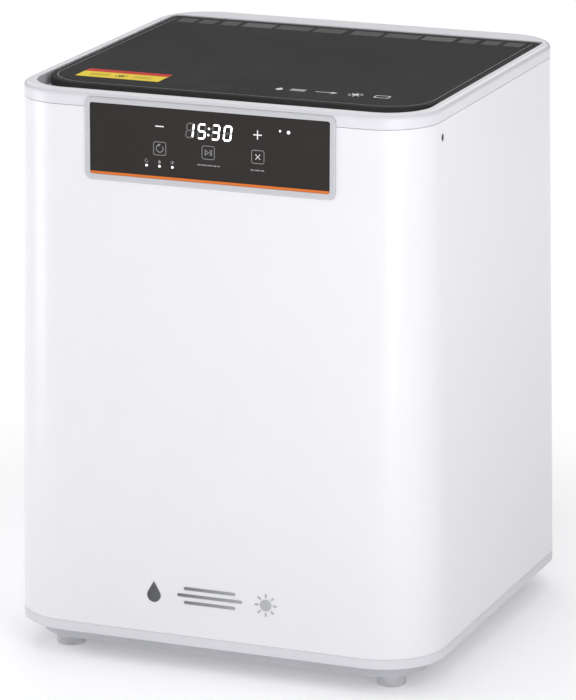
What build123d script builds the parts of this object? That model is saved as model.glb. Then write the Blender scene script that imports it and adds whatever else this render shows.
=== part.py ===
from build123d import *
import os
from math import cos, radians, sin, tan

# Wash and cure station for resin prints.
# Millimetres, +Z up, front face towards -Y, origin on the floor under the middle of the housing.

# ---------------------------------------------------------------- driving dimensions
HEIGHT = 485.0
TOP_WIDTH = 361.5
TOP_DEPTH = 359.0
TOP_CORNER = 46.0
DRAFT = 0.97
WALL = 3.0

FOOT_HEIGHT = 12.5
BAND_Z = 25.0
SHELL_Z = 33.5
SEAM_Z = 473.5

RIM_SIDE = 9.0
RIM_FRONT = 14.2
RIM_FILLET = 4.0
POCKET_FLOOR_Z = 474.5
POCKET_BACK_Y = 151.5
BASE_INSET = 16.0

LID_HALF_WIDTH = 170.0
LID_FRONT_Y = -145.5
LID_BACK_Y = 149.0
LID_TOP_Z = 484.5
LID_SKIRT_Z = 475.0
LID_THICK = 3.0
LID_PLATE = 2.0
HINGE_Y = 144.0
HINGE_Z = 481.0
PIN_RADIUS = 1.6
PIN_END_X = 177.5

CHAMBER_WIDTH = 320.0
CHAMBER_DEPTH = 250.0
CHAMBER_CORNER = 26.0
CHAMBER_Y = -5.0
CHAMBER_FLOOR_Z = 110.0
LINER_WALL = 2.0

BUCKET_WIDTH = 292.0
BUCKET_DEPTH = 186.0
BUCKET_CORNER = 28.0
BUCKET_Z = 126.0
BUCKET_TOP_Z = 362.0
BUCKET_WALL = 2.5
PIVOT_Z = 330.0
HANDLE_REACH = 112.0

PANEL_WIDTH = 209.3
PANEL_TOP = 4.4
PANEL_BOTTOM = -52.4
STRIP_BOTTOM = -54.7
BEZEL_WIDTH = 218.5
BEZEL_TOP = 9.0
BEZEL_BOTTOM = -59.8
PANEL_DEPTH = 3.2

RUNNING_CLEARANCE = 0.06

# ---------------------------------------------------------------- derived dimensions
GROWTH = tan(radians(DRAFT)) * (SEAM_Z - SHELL_Z)
BOTTOM_WIDTH = TOP_WIDTH + 2 * GROWTH
BOTTOM_DEPTH = TOP_DEPTH + 2 * GROWTH
BOTTOM_CORNER = TOP_CORNER + GROWTH

# Planes lying on the drafted walls, with their origins on the seam and local y up the wall.
LEAN = (cos(radians(DRAFT)), sin(radians(DRAFT)))
FRONT = Plane(origin=(0, -TOP_DEPTH / 2, SEAM_Z), x_dir=(1, 0, 0), z_dir=(0, -LEAN[0], LEAN[1]))
BACK = Plane(origin=(0, TOP_DEPTH / 2, SEAM_Z), x_dir=(-1, 0, 0), z_dir=(0, LEAN[0], LEAN[1]))
RIGHT = Plane(origin=(TOP_WIDTH / 2, 0, SEAM_Z), x_dir=(0, 1, 0), z_dir=(LEAN[0], 0, LEAN[1]))


def level(height):
    """Horizontal plane at a height above the floor."""
    return Plane.XY.offset(height)


def chamber_level(height):
    """Horizontal plane with its origin on the axis of the chamber."""
    return Plane(origin=(0, CHAMBER_Y, height))


# ================================================================ housing
# Drafted shell: an open tube with a control panel opening, a rear opening and a sensor hole.
REAR_OPENING = (230.0, 300.0)
REAR_CENTRE_Z = 245.0
REAR_LOCAL_Y = REAR_CENTRE_Z - SEAM_Z
BEZEL_MID = (BEZEL_TOP + BEZEL_BOTTOM) / 2
BEZEL_HEIGHT = BEZEL_TOP - BEZEL_BOTTOM
BEZEL_CORNER = 6.0
SENSOR_HOLE = (-128.5, -13.0, 3.25)

with BuildPart() as housing_shell:
    for inset, shell_mode in ((0.0, Mode.ADD), (WALL, Mode.SUBTRACT)):
        with BuildSketch(level(SHELL_Z)):
            RectangleRounded(BOTTOM_WIDTH - 2 * inset, BOTTOM_DEPTH - 2 * inset, BOTTOM_CORNER - inset)
        with BuildSketch(level(SEAM_Z)):
            RectangleRounded(TOP_WIDTH - 2 * inset, TOP_DEPTH - 2 * inset, TOP_CORNER - inset)
        loft(ruled=True, mode=shell_mode)
    with BuildSketch(FRONT.offset(5)):
        with Locations((0, BEZEL_MID)):
            RectangleRounded(BEZEL_WIDTH + 0.2, BEZEL_HEIGHT + 0.2, BEZEL_CORNER + 0.1)
    extrude(amount=-12, mode=Mode.SUBTRACT)
    with BuildSketch(BACK.offset(5)):
        with Locations((0, REAR_LOCAL_Y)):
            RectangleRounded(*REAR_OPENING, 8)
    extrude(amount=-12, mode=Mode.SUBTRACT)
    with BuildSketch(RIGHT.offset(5)):
        with Locations(SENSOR_HOLE[:2]):
            Circle(SENSOR_HOLE[2])
    extrude(amount=-12, mode=Mode.SUBTRACT)
housing_shell.part.label = "housing_shell"

# Top rim: outer ring, sunk pocket for the lid with a finger ledge at the front, plain rear deck.
RIM_Z = SEAM_Z + 0.4
LIP_Z = 464.0

with BuildPart() as top_rim:
    with BuildSketch(level(RIM_Z)):
        RectangleRounded(TOP_WIDTH, TOP_DEPTH, TOP_CORNER)
    extrude(amount=HEIGHT - RIM_Z)
    fillet(top_rim.faces().sort_by(Axis.Z)[-1].edges(), RIM_FILLET)
    pocket_front_y = -TOP_DEPTH / 2 + RIM_FRONT
    pocket_width = TOP_WIDTH - 2 * RIM_SIDE
    with BuildSketch(level(POCKET_FLOOR_Z)) as pocket_outline:
        with Locations((0, (pocket_front_y + POCKET_BACK_Y) / 2)):
            Rectangle(pocket_width, POCKET_BACK_Y - pocket_front_y)
        fillet(pocket_outline.vertices().group_by(Axis.Y)[0], TOP_CORNER - RIM_SIDE)
        fillet(pocket_outline.vertices().group_by(Axis.Y)[-1], 7)
    extrude(amount=20, mode=Mode.SUBTRACT)
    with BuildSketch(level(POCKET_FLOOR_Z - 2.5)):
        floor_inset = WALL + 0.3
        RectangleRounded(TOP_WIDTH - 2 * floor_inset, TOP_DEPTH - 2 * floor_inset, TOP_CORNER - floor_inset)
    extrude(amount=2.5)
    with BuildSketch(level(LIP_Z)):
        RectangleRounded(TOP_WIDTH - 2 * floor_inset, TOP_DEPTH - 2 * floor_inset, TOP_CORNER - floor_inset)
        lip_inset = floor_inset + 2.4
        RectangleRounded(
            TOP_WIDTH - 2 * lip_inset, TOP_DEPTH - 2 * lip_inset, TOP_CORNER - lip_inset, mode=Mode.SUBTRACT
        )
    extrude(amount=POCKET_FLOOR_Z - 2.5 - LIP_Z)
    with BuildSketch(chamber_level(LIP_Z)):
        RectangleRounded(CHAMBER_WIDTH, CHAMBER_DEPTH, CHAMBER_CORNER)
    extrude(amount=30, mode=Mode.SUBTRACT)
    with BuildSketch(level(LIP_Z - 1)):
        with Locations((0, -TOP_DEPTH / 2)):
            Rectangle(BEZEL_WIDTH + 8, 24)
    extrude(amount=POCKET_FLOOR_Z - 2.5 - LIP_Z + 1, mode=Mode.SUBTRACT)
    with BuildSketch(FRONT.offset(5)):
        with Locations((0, BEZEL_MID)):
            RectangleRounded(BEZEL_WIDTH + 0.2, BEZEL_HEIGHT + 0.2, BEZEL_CORNER + 0.1)
    extrude(amount=-5 - PANEL_DEPTH, mode=Mode.SUBTRACT)
    with BuildSketch(level(LIP_Z)):
        with Locations((0, (POCKET_BACK_Y + TOP_DEPTH / 2) / 2)):
            Rectangle(262, TOP_DEPTH / 2 - POCKET_BACK_Y - 7)
    extrude(amount=HEIGHT - WALL - LIP_Z, mode=Mode.SUBTRACT)
    with BuildSketch(Plane.YZ.offset(-PIN_END_X)):
        with Locations((HINGE_Y, HINGE_Z)):
            Circle(PIN_RADIUS)
    extrude(amount=2 * PIN_END_X, mode=Mode.SUBTRACT)
    inner_top_edges = top_rim.faces().sort_by(Axis.Z)[-1].inner_wires()[0].edges()
    fillet(inner_top_edges.filter_by(lambda edge: edge.center().Y < POCKET_BACK_Y - 8), 0.7)
top_rim.part.label = "top_rim"

# Base tray: the light band under the shell, with a floor and a locating lip inside the shell.
with BuildPart() as base_tray:
    with BuildSketch(level(BAND_Z)):
        RectangleRounded(BOTTOM_WIDTH, BOTTOM_DEPTH, BOTTOM_CORNER)
    extrude(amount=SHELL_Z - BAND_Z)
    chamfer(base_tray.faces().sort_by(Axis.Z)[-1].edges(), 0.6)
    lip_inset = WALL + 0.4
    with BuildSketch(level(SHELL_Z)):
        RectangleRounded(BOTTOM_WIDTH - 2 * lip_inset, BOTTOM_DEPTH - 2 * lip_inset, BOTTOM_CORNER - lip_inset)
    extrude(amount=9)
    hollow_inset = lip_inset + 3
    with BuildSketch(level(BAND_Z + WALL)):
        RectangleRounded(
            BOTTOM_WIDTH - 2 * hollow_inset, BOTTOM_DEPTH - 2 * hollow_inset, BOTTOM_CORNER - hollow_inset
        )
    extrude(amount=30, mode=Mode.SUBTRACT)
base_tray.part.label = "base_tray"

# Base plate: set in under the band, hollow above, with rows of air slots.
FOOT_X = 145.0
FOOT_Y = 145.0
with BuildPart() as base_plate:
    with BuildSketch(level(FOOT_HEIGHT)):
        RectangleRounded(
            BOTTOM_WIDTH - 2 * BASE_INSET, BOTTOM_DEPTH - 2 * BASE_INSET, BOTTOM_CORNER - BASE_INSET
        )
    extrude(amount=BAND_Z - FOOT_HEIGHT)
    fillet(base_plate.faces().sort_by(Axis.Z)[0].edges(), 2.0)
    hollow_inset = BASE_INSET + WALL
    with BuildSketch(level(FOOT_HEIGHT + WALL)):
        RectangleRounded(
            BOTTOM_WIDTH - 2 * hollow_inset, BOTTOM_DEPTH - 2 * hollow_inset, BOTTOM_CORNER - hollow_inset
        )
    extrude(amount=30, mode=Mode.SUBTRACT)
    with BuildSketch(level(FOOT_HEIGHT)):
        with GridLocations(2 * FOOT_X, 2 * FOOT_Y, 2, 2):
            Circle(10)
    extrude(amount=BAND_Z - FOOT_HEIGHT)
    with BuildSketch(level(FOOT_HEIGHT - 1)):
        with GridLocations(150, 14, 2, 9):
            SlotOverall(60, 4)
    extrude(amount=8, mode=Mode.SUBTRACT)
base_plate.part.label = "base_plate"

# Rubber feet with a countersunk pocket, and the screws that hold them.
with BuildPart() as feet:
    with BuildSketch(level(0)):
        with GridLocations(2 * FOOT_X, 2 * FOOT_Y, 2, 2):
            Circle(12)
    extrude(amount=FOOT_HEIGHT, taper=-4)
    fillet(feet.edges().group_by(Axis.Z)[0], 1.0)
    with BuildSketch(level(0)):
        with GridLocations(2 * FOOT_X, 2 * FOOT_Y, 2, 2):
            Circle(5)
    extrude(amount=6, mode=Mode.SUBTRACT)
feet.part.label = "feet"

with BuildPart() as foot_screws:
    with BuildSketch(level(2.5)):
        with GridLocations(2 * FOOT_X, 2 * FOOT_Y, 2, 2):
            Circle(4.2)
    extrude(amount=3.5)
    with BuildSketch(level(2.5)):
        with GridLocations(2 * FOOT_X, 2 * FOOT_Y, 2, 2):
            RegularPolygon(1.8, 6)
    extrude(amount=2, mode=Mode.SUBTRACT)
foot_screws.part.label = "foot_screws"

# ================================================================ control panel
WINDOW_MID = (PANEL_TOP + STRIP_BOTTOM) / 2
WINDOW_HEIGHT = PANEL_TOP - STRIP_BOTTOM
GLASS_PROUD = 0.7
BEZEL_PROUD = 1.5

with BuildPart() as panel_bezel:
    with BuildSketch(FRONT.offset(-PANEL_DEPTH)):
        with Locations((0, BEZEL_MID)):
            RectangleRounded(BEZEL_WIDTH, BEZEL_HEIGHT, BEZEL_CORNER)
    extrude(amount=PANEL_DEPTH + BEZEL_PROUD)
    fillet(panel_bezel.faces().sort_by(Axis.Y)[0].edges(), 1.2)
    with BuildSketch(FRONT.offset(-PANEL_DEPTH)):
        with Locations((0, WINDOW_MID)):
            RectangleRounded(PANEL_WIDTH, WINDOW_HEIGHT, 2.0)
    extrude(amount=10, mode=Mode.SUBTRACT)
panel_bezel.part.label = "panel_bezel"

with BuildPart() as panel_glass:
    with BuildSketch(FRONT.offset(-PANEL_DEPTH)) as glass_outline:
        with Locations((0, (PANEL_TOP + PANEL_BOTTOM) / 2)):
            Rectangle(PANEL_WIDTH - 0.2, PANEL_TOP - PANEL_BOTTOM - 0.1)
        fillet(glass_outline.vertices().group_by(Axis.Y)[-1], 1.9)
    extrude(amount=PANEL_DEPTH + GLASS_PROUD)
panel_glass.part.label = "panel_glass"

with BuildPart() as accent_strip:
    with BuildSketch(FRONT.offset(-PANEL_DEPTH)) as strip_outline:
        with Locations((0, (PANEL_BOTTOM + STRIP_BOTTOM) / 2)):
            Rectangle(PANEL_WIDTH - 0.2, PANEL_BOTTOM - STRIP_BOTTOM - 0.1)
        fillet(strip_outline.vertices().group_by(Axis.Y)[0], 1.9)
    extrude(amount=PANEL_DEPTH + GLASS_PROUD + 0.2)
accent_strip.part.label = "accent_strip"

# Display block, key pads and circuit board stand behind the glass, below the pocket floor.
DISPLAY_MID = -13.7
KEY_ROW = -32.0
BOARD_DEPTH = PANEL_DEPTH + 9.0

with BuildPart() as display_module:
    with BuildSketch(FRONT.offset(-BOARD_DEPTH)):
        with Locations((-0.8, DISPLAY_MID)):
            Rectangle(56, 20)
    extrude(amount=BOARD_DEPTH - PANEL_DEPTH)
display_module.part.label = "display_module"

with BuildPart() as key_pads:
    with BuildSketch(FRONT.offset(-BOARD_DEPTH)):
        with Locations((-44, DISPLAY_MID), (42, DISPLAY_MID), (-44, KEY_ROW), (-1, KEY_ROW), (42, KEY_ROW)):
            Circle(5)
    extrude(amount=BOARD_DEPTH - PANEL_DEPTH)
key_pads.part.label = "key_pads"

with BuildPart() as panel_board:
    with BuildSketch(FRONT.offset(-BOARD_DEPTH - 1.6)):
        with Locations((0, -27.5)):
            Rectangle(196, 48)
    extrude(amount=1.6)
    with BuildSketch(FRONT.offset(-BOARD_DEPTH - 6)):
        with Locations((-70, -25), (60, -28)):
            Rectangle(18, 14)
        with Locations((84, -20)):
            Rectangle(10, 22)
    extrude(amount=4.4)
panel_board.part.label = "panel_board"

# Raised emblem low on the front: a drop, three waves and a sun, standing for wash and cure.
EMBLEM_Y = -405.0
EMBLEM_HEIGHT = 0.4
with BuildPart() as emblem:
    with BuildSketch(FRONT):
        with Locations((-50, EMBLEM_Y - 3)):
            Circle(6)
            Polygon((-5.2, 3), (5.2, 3), (0, 12), align=None)
        for row in (-6, 0, 6):
            with Locations((0, EMBLEM_Y + row)):
                SlotOverall(58 - 2 * abs(row), 2.6)
        with Locations((50, EMBLEM_Y)):
            Circle(5)
            with PolarLocations(8.2, 8):
                Rectangle(3.2, 1.5)
    extrude(amount=EMBLEM_HEIGHT)
emblem.part.label = "emblem"

# ================================================================ wash and cure chamber
LED_X = 115.0
LED_MID_Z = 290.0
LED_LENGTH = 300.0
LED_COUNT = 14
LINER_BACK_Y = CHAMBER_Y + CHAMBER_DEPTH / 2 + LINER_WALL
PAD_X = 136.0
PAD_Y = 78.0
BUSH_RADIUS = 8.0

with BuildPart() as chamber_liner:
    with BuildSketch(chamber_level(CHAMBER_FLOOR_Z)):
        RectangleRounded(
            CHAMBER_WIDTH + 2 * LINER_WALL, CHAMBER_DEPTH + 2 * LINER_WALL, CHAMBER_CORNER + LINER_WALL
        )
    extrude(amount=POCKET_FLOOR_Z - 2.5 - CHAMBER_FLOOR_Z)
    with BuildSketch(chamber_level(POCKET_FLOOR_Z - 4.5)):
        RectangleRounded(CHAMBER_WIDTH + 12, CHAMBER_DEPTH + 12, CHAMBER_CORNER + 6)
    extrude(amount=2)
    with BuildSketch(chamber_level(CHAMBER_FLOOR_Z)):
        RectangleRounded(CHAMBER_WIDTH, CHAMBER_DEPTH, CHAMBER_CORNER)
    extrude(amount=400, mode=Mode.SUBTRACT)
    with BuildSketch(Plane.XZ.offset(-LINER_BACK_Y)):
        with Locations((-LED_X, LED_MID_Z), (LED_X, LED_MID_Z)):
            RectangleRounded(22, LED_LENGTH - 8, 4)
    extrude(amount=6, mode=Mode.SUBTRACT)
chamber_liner.part.label = "chamber_liner"

# Floor of the chamber under the liner, with four pads that carry the bucket clear of the turntable.
with BuildPart() as chamber_floor:
    with BuildSketch(chamber_level(CHAMBER_FLOOR_Z - WALL)):
        RectangleRounded(
            CHAMBER_WIDTH + 2 * LINER_WALL, CHAMBER_DEPTH + 2 * LINER_WALL, CHAMBER_CORNER + LINER_WALL
        )
        with Locations((0, 0)):
            Circle(BUSH_RADIUS, mode=Mode.SUBTRACT)
    extrude(amount=WALL)
    with BuildSketch(chamber_level(CHAMBER_FLOOR_Z)):
        with GridLocations(2 * PAD_X, 2 * PAD_Y, 2, 2):
            Circle(8)
    extrude(amount=BUCKET_Z - CHAMBER_FLOOR_Z)
chamber_floor.part.label = "chamber_floor"

with BuildPart() as mouth_seal:
    with BuildSketch(chamber_level(POCKET_FLOOR_Z)):
        RectangleRounded(CHAMBER_WIDTH + 12, CHAMBER_DEPTH + 12, CHAMBER_CORNER + 6)
        RectangleRounded(CHAMBER_WIDTH + 2, CHAMBER_DEPTH + 2, CHAMBER_CORNER + 1, mode=Mode.SUBTRACT)
    extrude(amount=2.8)
    fillet(mouth_seal.faces().sort_by(Axis.Z)[-1].edges(), 1.0)
mouth_seal.part.label = "mouth_seal"

# Two ultraviolet columns behind the back wall: clear cover, lamp strip, lamps and heat sink.
COVER_DEPTH = 8.0
BOARD_Y = LINER_BACK_Y + COVER_DEPTH

with BuildPart() as led_covers:
    with BuildSketch(Plane.XZ.offset(-LINER_BACK_Y)):
        with Locations((-LED_X, LED_MID_Z), (LED_X, LED_MID_Z)):
            RectangleRounded(30, LED_LENGTH, 3)
    extrude(amount=-COVER_DEPTH)
    with BuildSketch(Plane.XZ.offset(-LINER_BACK_Y - 2)):
        with Locations((-LED_X, LED_MID_Z), (LED_X, LED_MID_Z)):
            Rectangle(26, LED_LENGTH - 4)
    extrude(amount=-COVER_DEPTH, mode=Mode.SUBTRACT)
led_covers.part.label = "led_covers"

with BuildPart() as led_strips:
    with BuildSketch(Plane.XZ.offset(-BOARD_Y + 1.6)):
        with Locations((-LED_X, LED_MID_Z), (LED_X, LED_MID_Z)):
            Rectangle(25, LED_LENGTH - 6)
    extrude(amount=-1.6)
led_strips.part.label = "led_strips"

with BuildPart() as uv_leds:
    with BuildSketch(Plane.XZ.offset(-BOARD_Y + 1.6)):
        with Locations((0, LED_MID_Z)):
            with GridLocations(2 * LED_X, 20, 2, LED_COUNT):
                Rectangle(5, 5)
    extrude(amount=1.2)
    with BuildSketch(Plane.XZ.offset(-BOARD_Y + 2.8)):
        with Locations((0, LED_MID_Z)):
            with GridLocations(2 * LED_X, 20, 2, LED_COUNT):
                Circle(2)
    extrude(amount=1.2, taper=25)
uv_leds.part.label = "uv_leds"

with BuildPart() as heat_sinks:
    with BuildSketch(Plane.XZ.offset(-BOARD_Y)):
        with Locations((-LED_X, LED_MID_Z), (LED_X, LED_MID_Z)):
            Rectangle(34, LED_LENGTH)
    extrude(amount=-3)
    with BuildSketch(Plane.XZ.offset(-BOARD_Y - 3)):
        for side in (-1, 1):
            with Locations((side * LED_X, LED_MID_Z)):
                with GridLocations(6.4, 1, 6, 1):
                    Rectangle(1.6, LED_LENGTH)
    extrude(amount=-10)
heat_sinks.part.label = "heat_sinks"

# Drive: motor under the chamber floor turns the turntable, whose magnets pull the impeller round.
MOTOR_Z = 60.0
MOTOR_TOP_Z = 94.0
SHAFT_RADIUS = 2.5
TURNTABLE_Z = 117.0
TURNTABLE_RADIUS = 110.0

with BuildPart() as drive_motor:
    with BuildSketch(chamber_level(MOTOR_Z)):
        RectangleRounded(42, 42, 4)
    extrude(amount=MOTOR_TOP_Z - MOTOR_Z)
    with BuildSketch(chamber_level(MOTOR_TOP_Z)):
        Circle(11)
    extrude(amount=2)
    with BuildSketch(chamber_level(MOTOR_Z + 3)):
        Circle(13)
    extrude(amount=MOTOR_TOP_Z - MOTOR_Z - 6, mode=Mode.SUBTRACT)
    with BuildSketch(chamber_level(MOTOR_TOP_Z - 4)):
        Circle(SHAFT_RADIUS + RUNNING_CLEARANCE)
    extrude(amount=8, mode=Mode.SUBTRACT)
drive_motor.part.label = "drive_motor"

with BuildPart() as motor_bracket:
    with BuildSketch(chamber_level(MOTOR_TOP_Z)):
        RectangleRounded(84, 60, 6)
        Circle(11.2, mode=Mode.SUBTRACT)
        with GridLocations(31, 31, 2, 2):
            Circle(1.6, mode=Mode.SUBTRACT)
    extrude(amount=3)
    with BuildSketch(chamber_level(MOTOR_TOP_Z + 3)):
        with GridLocations(68, 44, 2, 2):
            Circle(5)
    extrude(amount=CHAMBER_FLOOR_Z - WALL - MOTOR_TOP_Z - 3)
motor_bracket.part.label = "motor_bracket"

with BuildPart() as motor_screws:
    with BuildSketch(chamber_level(MOTOR_TOP_Z)):
        with GridLocations(31, 31, 2, 2):
            Circle(1.5)
    extrude(amount=3)
    with BuildSketch(chamber_level(MOTOR_TOP_Z + 3)):
        with GridLocations(31, 31, 2, 2):
            Circle(2.8)
    extrude(amount=2.5)
motor_screws.part.label = "motor_screws"

with BuildPart() as drive_bush:
    with BuildSketch(chamber_level(CHAMBER_FLOOR_Z - WALL - 2)):
        Circle(BUSH_RADIUS - 0.02)
    extrude(amount=WALL + 2)
    with BuildSketch(chamber_level(CHAMBER_FLOOR_Z)):
        Circle(11)
    extrude(amount=1.5)
    with BuildSketch(chamber_level(100)):
        Circle(SHAFT_RADIUS + RUNNING_CLEARANCE)
    extrude(amount=20, mode=Mode.SUBTRACT)
drive_bush.part.label = "drive_bush"

with BuildPart() as drive_shaft:
    with BuildSketch(chamber_level(MOTOR_Z + 4)):
        Circle(12)
    extrude(amount=MOTOR_TOP_Z - MOTOR_Z - 9)
    with BuildSketch(chamber_level(MOTOR_Z + 4)):
        Circle(SHAFT_RADIUS)
    extrude(amount=TURNTABLE_Z + 1.5 - MOTOR_Z - 4)
drive_shaft.part.label = "drive_shaft"

with BuildPart() as turntable:
    with BuildSketch(chamber_level(TURNTABLE_Z)):
        Circle(TURNTABLE_RADIUS)
        with PolarLocations(74, 12):
            SlotOverall(40, 8, mode=Mode.SUBTRACT)
    extrude(amount=3)
    fillet(turntable.faces().sort_by(Axis.Z)[-1].outer_wire().edges(), 1.0)
    with BuildSketch(chamber_level(CHAMBER_FLOOR_Z + 2.1)):
        Circle(14)
    extrude(amount=TURNTABLE_Z - CHAMBER_FLOOR_Z - 2.1)
    with BuildSketch(chamber_level(CHAMBER_FLOOR_Z)):
        Circle(SHAFT_RADIUS)
    extrude(amount=TURNTABLE_Z + 1.5 - CHAMBER_FLOOR_Z, mode=Mode.SUBTRACT)
turntable.part.label = "turntable"

with BuildPart() as drive_magnets:
    with BuildSketch(chamber_level(TURNTABLE_Z - 3)):
        with PolarLocations(34, 4):
            Circle(6)
    extrude(amount=3)
drive_magnets.part.label = "drive_magnets"

# ================================================================ wash bucket, basket and impeller
POST_RADIUS = 4.0
IMPELLER_Z = BUCKET_Z + 3.4

with BuildPart() as wash_bucket:
    with BuildSketch(chamber_level(BUCKET_Z)):
        RectangleRounded(BUCKET_WIDTH, BUCKET_DEPTH, BUCKET_CORNER)
    extrude(amount=BUCKET_TOP_Z - BUCKET_Z)
    fillet(wash_bucket.faces().sort_by(Axis.Z)[0].edges(), 4.0)
    with BuildSketch(chamber_level(BUCKET_TOP_Z - 4)):
        RectangleRounded(BUCKET_WIDTH + 8, BUCKET_DEPTH + 8, BUCKET_CORNER + 4)
    extrude(amount=4)
    with BuildSketch(chamber_level(BUCKET_Z + 3)):
        RectangleRounded(
            BUCKET_WIDTH - 2 * BUCKET_WALL, BUCKET_DEPTH - 2 * BUCKET_WALL, BUCKET_CORNER - BUCKET_WALL
        )
    extrude(amount=300, mode=Mode.SUBTRACT)
    with BuildSketch(chamber_level(BUCKET_Z + 3)):
        Circle(POST_RADIUS)
    extrude(amount=14.5)
wash_bucket.part.label = "wash_bucket"

EYE_X = BUCKET_WIDTH / 2 + 5.0
ARM_THICK = 3.0
PIVOT_RADIUS = 3.0

with BuildPart() as bucket_pivots:
    for side in (-1, 1):
        pivot_plane = Plane(origin=(side * BUCKET_WIDTH / 2, CHAMBER_Y, PIVOT_Z), z_dir=(side, 0, 0))
        with BuildSketch(pivot_plane):
            Circle(6)
        extrude(amount=4.6)
        with BuildSketch(pivot_plane):
            Circle(PIVOT_RADIUS)
        extrude(amount=EYE_X - BUCKET_WIDTH / 2 + ARM_THICK + 0.4)
        with BuildSketch(pivot_plane.offset(EYE_X - BUCKET_WIDTH / 2 + ARM_THICK + 0.4)):
            Circle(5)
        extrude(amount=1.8)
bucket_pivots.part.label = "bucket_pivots"

# Bail handle, folded down in front of the bucket: a flat strap bent into a U.
STRAP = 10.0
with BuildPart() as bucket_handle:
    with BuildSketch(chamber_level(PIVOT_Z - STRAP / 2)) as strap_outline:
        with Locations((0, -(HANDLE_REACH + ARM_THICK / 2) / 2)):
            Rectangle(2 * (EYE_X + ARM_THICK), HANDLE_REACH + ARM_THICK / 2)
        fillet(strap_outline.vertices().group_by(Axis.Y)[0], 12)
    extrude(amount=STRAP)
    with BuildSketch(chamber_level(PIVOT_Z - STRAP / 2)) as strap_hollow:
        with Locations((0, -(HANDLE_REACH - ARM_THICK / 2) / 2)):
            Rectangle(2 * EYE_X, HANDLE_REACH - ARM_THICK / 2)
        fillet(strap_hollow.vertices().group_by(Axis.Y)[0], 9)
    extrude(amount=STRAP, mode=Mode.SUBTRACT)
    for side in (-1, 1):
        eye_plane = Plane(origin=(side * EYE_X, CHAMBER_Y, PIVOT_Z), z_dir=(side, 0, 0))
        with BuildSketch(eye_plane):
            Circle(7.5)
        extrude(amount=ARM_THICK)
        with BuildSketch(eye_plane.offset(-1)):
            Circle(PIVOT_RADIUS + RUNNING_CLEARANCE)
        extrude(amount=ARM_THICK + 2, mode=Mode.SUBTRACT)
bucket_handle.part.label = "bucket_handle"

GRIP_LENGTH = 110.0
with BuildPart() as handle_grip:
    grip_plane = Plane(
        origin=(-GRIP_LENGTH / 2, CHAMBER_Y - HANDLE_REACH, PIVOT_Z), x_dir=(0, 1, 0), z_dir=(1, 0, 0)
    )
    with BuildSketch(grip_plane):
        RectangleRounded(14, 16, 6)
    extrude(amount=GRIP_LENGTH)
    fillet(handle_grip.edges().group_by(Axis.X)[0], 2.0)
    fillet(handle_grip.edges().group_by(Axis.X)[-1], 2.0)
    with BuildSketch(grip_plane.offset(-5)):
        Rectangle(ARM_THICK, STRAP)
    extrude(amount=GRIP_LENGTH + 10, mode=Mode.SUBTRACT)
handle_grip.part.label = "handle_grip"

BASKET_WIDTH = 272.0
BASKET_DEPTH = 164.0
BASKET_Z = 146.0
BASKET_TOP_Z = 364.8

with BuildPart() as wash_basket:
    with BuildSketch(chamber_level(BASKET_Z)):
        RectangleRounded(BASKET_WIDTH, BASKET_DEPTH, 18)
    extrude(amount=BASKET_TOP_Z - BASKET_Z)
    with BuildSketch(chamber_level(BUCKET_TOP_Z + 0.3)):
        RectangleRounded(BUCKET_WIDTH, BUCKET_DEPTH, BUCKET_CORNER)
    extrude(amount=BASKET_TOP_Z - BUCKET_TOP_Z - 0.3)
    with BuildSketch(chamber_level(BASKET_Z + 2)):
        RectangleRounded(BASKET_WIDTH - 4, BASKET_DEPTH - 4, 16)
    extrude(amount=300, mode=Mode.SUBTRACT)
    with BuildSketch(Plane.XZ.offset(-CHAMBER_Y - BASKET_DEPTH)):
        with Locations((0, 252)):
            with GridLocations(24, 92, 10, 2):
                SlotOverall(80, 14, rotation=90)
    extrude(amount=2 * BASKET_DEPTH, mode=Mode.SUBTRACT)
    with BuildSketch(Plane.YZ.offset(-BASKET_WIDTH)):
        with Locations((CHAMBER_Y, 252)):
            with GridLocations(24, 92, 5, 2):
                SlotOverall(80, 14, rotation=90)
    extrude(amount=2 * BASKET_WIDTH, mode=Mode.SUBTRACT)
    with BuildSketch(chamber_level(BASKET_Z - 1)):
        with GridLocations(24, 48, 10, 3):
            SlotOverall(38, 14, rotation=90)
    extrude(amount=5, mode=Mode.SUBTRACT)
wash_basket.part.label = "wash_basket"

with BuildPart() as impeller:
    with BuildSketch(chamber_level(IMPELLER_Z)):
        Circle(46)
    extrude(amount=2)
    with BuildSketch(chamber_level(IMPELLER_Z + 2)):
        Circle(9)
        with PolarLocations(27, 6):
            Rectangle(38, 3)
    extrude(amount=10)
    with BuildSketch(chamber_level(IMPELLER_Z)):
        Circle(POST_RADIUS + RUNNING_CLEARANCE)
    extrude(amount=12, mode=Mode.SUBTRACT)
impeller.part.label = "impeller"

with BuildPart() as impeller_magnets:
    with BuildSketch(chamber_level(IMPELLER_Z + 2)):
        with PolarLocations(34, 6, start_angle=30):
            Circle(5)
    extrude(amount=4)
impeller_magnets.part.label = "impeller_magnets"

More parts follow.
